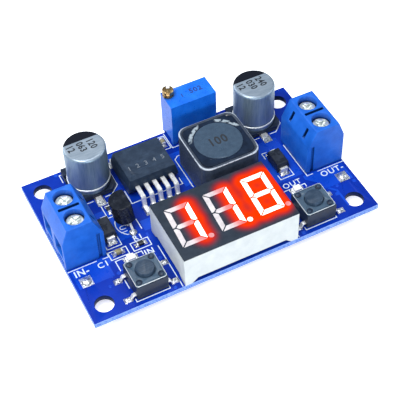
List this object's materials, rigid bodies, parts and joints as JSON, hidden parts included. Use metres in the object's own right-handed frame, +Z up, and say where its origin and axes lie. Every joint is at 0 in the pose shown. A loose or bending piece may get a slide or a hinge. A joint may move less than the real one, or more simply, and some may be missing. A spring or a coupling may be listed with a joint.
{
  "type": "step-down voltage converter module",
  "caption": "Open circuit board that lowers a DC voltage: screw terminals at both ends, power coil, can capacitors, regulator, multi-turn trimmer, push buttons and a red number readout",
  "frame": {"origin": "centre of the four mounting holes on the underside of the board", "axes": "+X runs along the board from the input end to the output end, +Y to the edge with the trimmer, +Z points up out of the component side"},
  "size_m": [0.057, 0.0361, 0.0145],
  "materials": {
    "solder_mask": "satin",
    "solder": "satin",
    "blue_housing": "satin",
    "trimmer_blue": "satin",
    "contact_brass": "satin",
    "adjuster_brass": "satin",
    "screw_steel": "satin",
    "clamp_steel": "satin",
    "tinned_metal": "satin",
    "ferrite_shell": "satin",
    "ferrite_core": "matte",
    "copper_wire": "satin",
    "black_resin": "gloss",
    "can_aluminium": "satin",
    "black_plastic": "matte",
    "moulded_black": "matte",
    "dark_cover": "satin",
    "dark_button": "matte",
    "white_plastic": "satin",
    "dark_face": "satin",
    "lit_bar": "gloss",
    "dark_bar": "satin",
    "potting": "matte",
    "lamp_white": "satin",
    "chip_black": "matte",
    "chip_tan": "matte"
  },
  "bodies": {
    "board": {"circuit_board": "solder_mask", "top_pads": "solder", "bottom_solder": "solder", "input_housing": "blue_housing", "input_contacts": "contact_brass", "output_housing": "blue_housing", "output_contacts": "contact_brass", "trimmer_body": "trimmer_blue", "trimmer_pins": "tinned_metal", "inductor_shield": "ferrite_shell", "inductor_core": "ferrite_core", "inductor_winding": "copper_wire", "inductor_resin": "black_resin", "inductor_terminals": "tinned_metal", "input_capacitor_can": "can_aluminium", "input_capacitor_base": "black_plastic", "input_capacitor_leads": "tinned_metal", "output_capacitor_can": "can_aluminium", "output_capacitor_base": "black_plastic", "output_capacitor_leads": "tinned_metal", "regulator_body": "moulded_black", "regulator_tab": "tinned_metal", "regulator_leads": "tinned_metal", "input_key_base": "black_plastic", "input_key_cover": "dark_cover", "input_key_dome": "tinned_metal", "input_key_leads": "tinned_metal", "output_key_base": "black_plastic", "output_key_cover": "dark_cover", "output_key_dome": "tinned_metal", "output_key_leads": "tinned_metal", "readout_housing": "white_plastic", "readout_face": "dark_face", "readout_bars_lit": "lit_bar", "readout_bars_dark": "dark_bar", "readout_potting": "potting", "readout_pins": "tinned_metal", "diode_bodies": "moulded_black", "diode_leads": "tinned_metal", "reference_case": "moulded_black", "reference_legs": "tinned_metal", "lamp_bases": "lamp_white", "lamp_lenses": "lamp_white", "chip_resistors": "chip_black", "chip_capacitors": "chip_tan", "chip_caps": "tinned_metal", "controller_body": "moulded_black", "controller_legs": "tinned_metal"},
    "input clamp plate front": {"input_plate_front": "clamp_steel"},
    "input clamp screw front": {"input_screw_front": "screw_steel"},
    "input clamp plate back": {"input_plate_back": "clamp_steel"},
    "input clamp screw back": {"input_screw_back": "screw_steel"},
    "output clamp plate front": {"output_plate_front": "clamp_steel"},
    "output clamp screw front": {"output_screw_front": "screw_steel"},
    "output clamp plate back": {"output_plate_back": "clamp_steel"},
    "output clamp screw back": {"output_screw_back": "screw_steel"},
    "trimmer adjuster": {"trimmer_adjuster": "adjuster_brass"},
    "input key button": {"input_key_button": "dark_button"},
    "output key button": {"output_key_button": "dark_button"}
  },
  "joints": [
    {"name": "input_clamp_front_rise", "type": "slide", "parent": "board", "child": "input clamp plate front", "axis": [0, 0, 1], "range_m": [-0.00088, 0.00097]},
    {"name": "input_clamp_front_turn", "type": "hinge", "parent": "input clamp plate front", "child": "input clamp screw front", "pos_m": [-0.0247, -0.00245, 0.0082], "axis": [0, 0, 1], "range_deg": [-800, 880]},
    {"name": "input_clamp_back_rise", "type": "slide", "parent": "board", "child": "input clamp plate back", "axis": [0, 0, 1], "range_m": [-0.00088, 0.00097]},
    {"name": "input_clamp_back_turn", "type": "hinge", "parent": "input clamp plate back", "child": "input clamp screw back", "pos_m": [-0.0247, 0.00255, 0.0082], "axis": [0, 0, 1], "range_deg": [-800, 880]},
    {"name": "output_clamp_front_rise", "type": "slide", "parent": "board", "child": "output clamp plate front", "axis": [0, 0, 1], "range_m": [-0.00088, 0.00097]},
    {"name": "output_clamp_front_turn", "type": "hinge", "parent": "output clamp plate front", "child": "output clamp screw front", "pos_m": [0.0247, -0.00245, 0.0082], "axis": [0, 0, 1], "range_deg": [-800, 880]},
    {"name": "output_clamp_back_rise", "type": "slide", "parent": "board", "child": "output clamp plate back", "axis": [0, 0, 1], "range_m": [-0.00088, 0.00097]},
    {"name": "output_clamp_back_turn", "type": "hinge", "parent": "output clamp plate back", "child": "output clamp screw back", "pos_m": [0.0247, 0.00255, 0.0082], "axis": [0, 0, 1], "range_deg": [-800, 880]},
    {"name": "trimmer_turn", "type": "hinge", "parent": "board", "child": "trimmer adjuster", "pos_m": [0.00277, 0.01725, 0.01125], "axis": [0, 0, 1], "continuous": true},
    {"name": "input_key_press", "type": "slide", "parent": "board", "child": "input key button", "axis": [0, 0, -1], "range_m": [0, 0.00025], "stiffness_N_per_m": 4000, "deforming": ["input_key_dome"]},
    {"name": "output_key_press", "type": "slide", "parent": "board", "child": "output key button", "axis": [0, 0, -1], "range_m": [0, 0.00025], "stiffness_N_per_m": 4000, "deforming": ["output_key_dome"]}
  ],
  "couplings": [
    {"joint": "input_clamp_front_turn", "follows": "input_clamp_front_rise", "rad_per_m": 12566},
    {"joint": "input_clamp_back_turn", "follows": "input_clamp_back_rise", "rad_per_m": 12566},
    {"joint": "output_clamp_front_turn", "follows": "output_clamp_front_rise", "rad_per_m": 12566},
    {"joint": "output_clamp_back_turn", "follows": "output_clamp_back_rise", "rad_per_m": 12566}
  ]
}
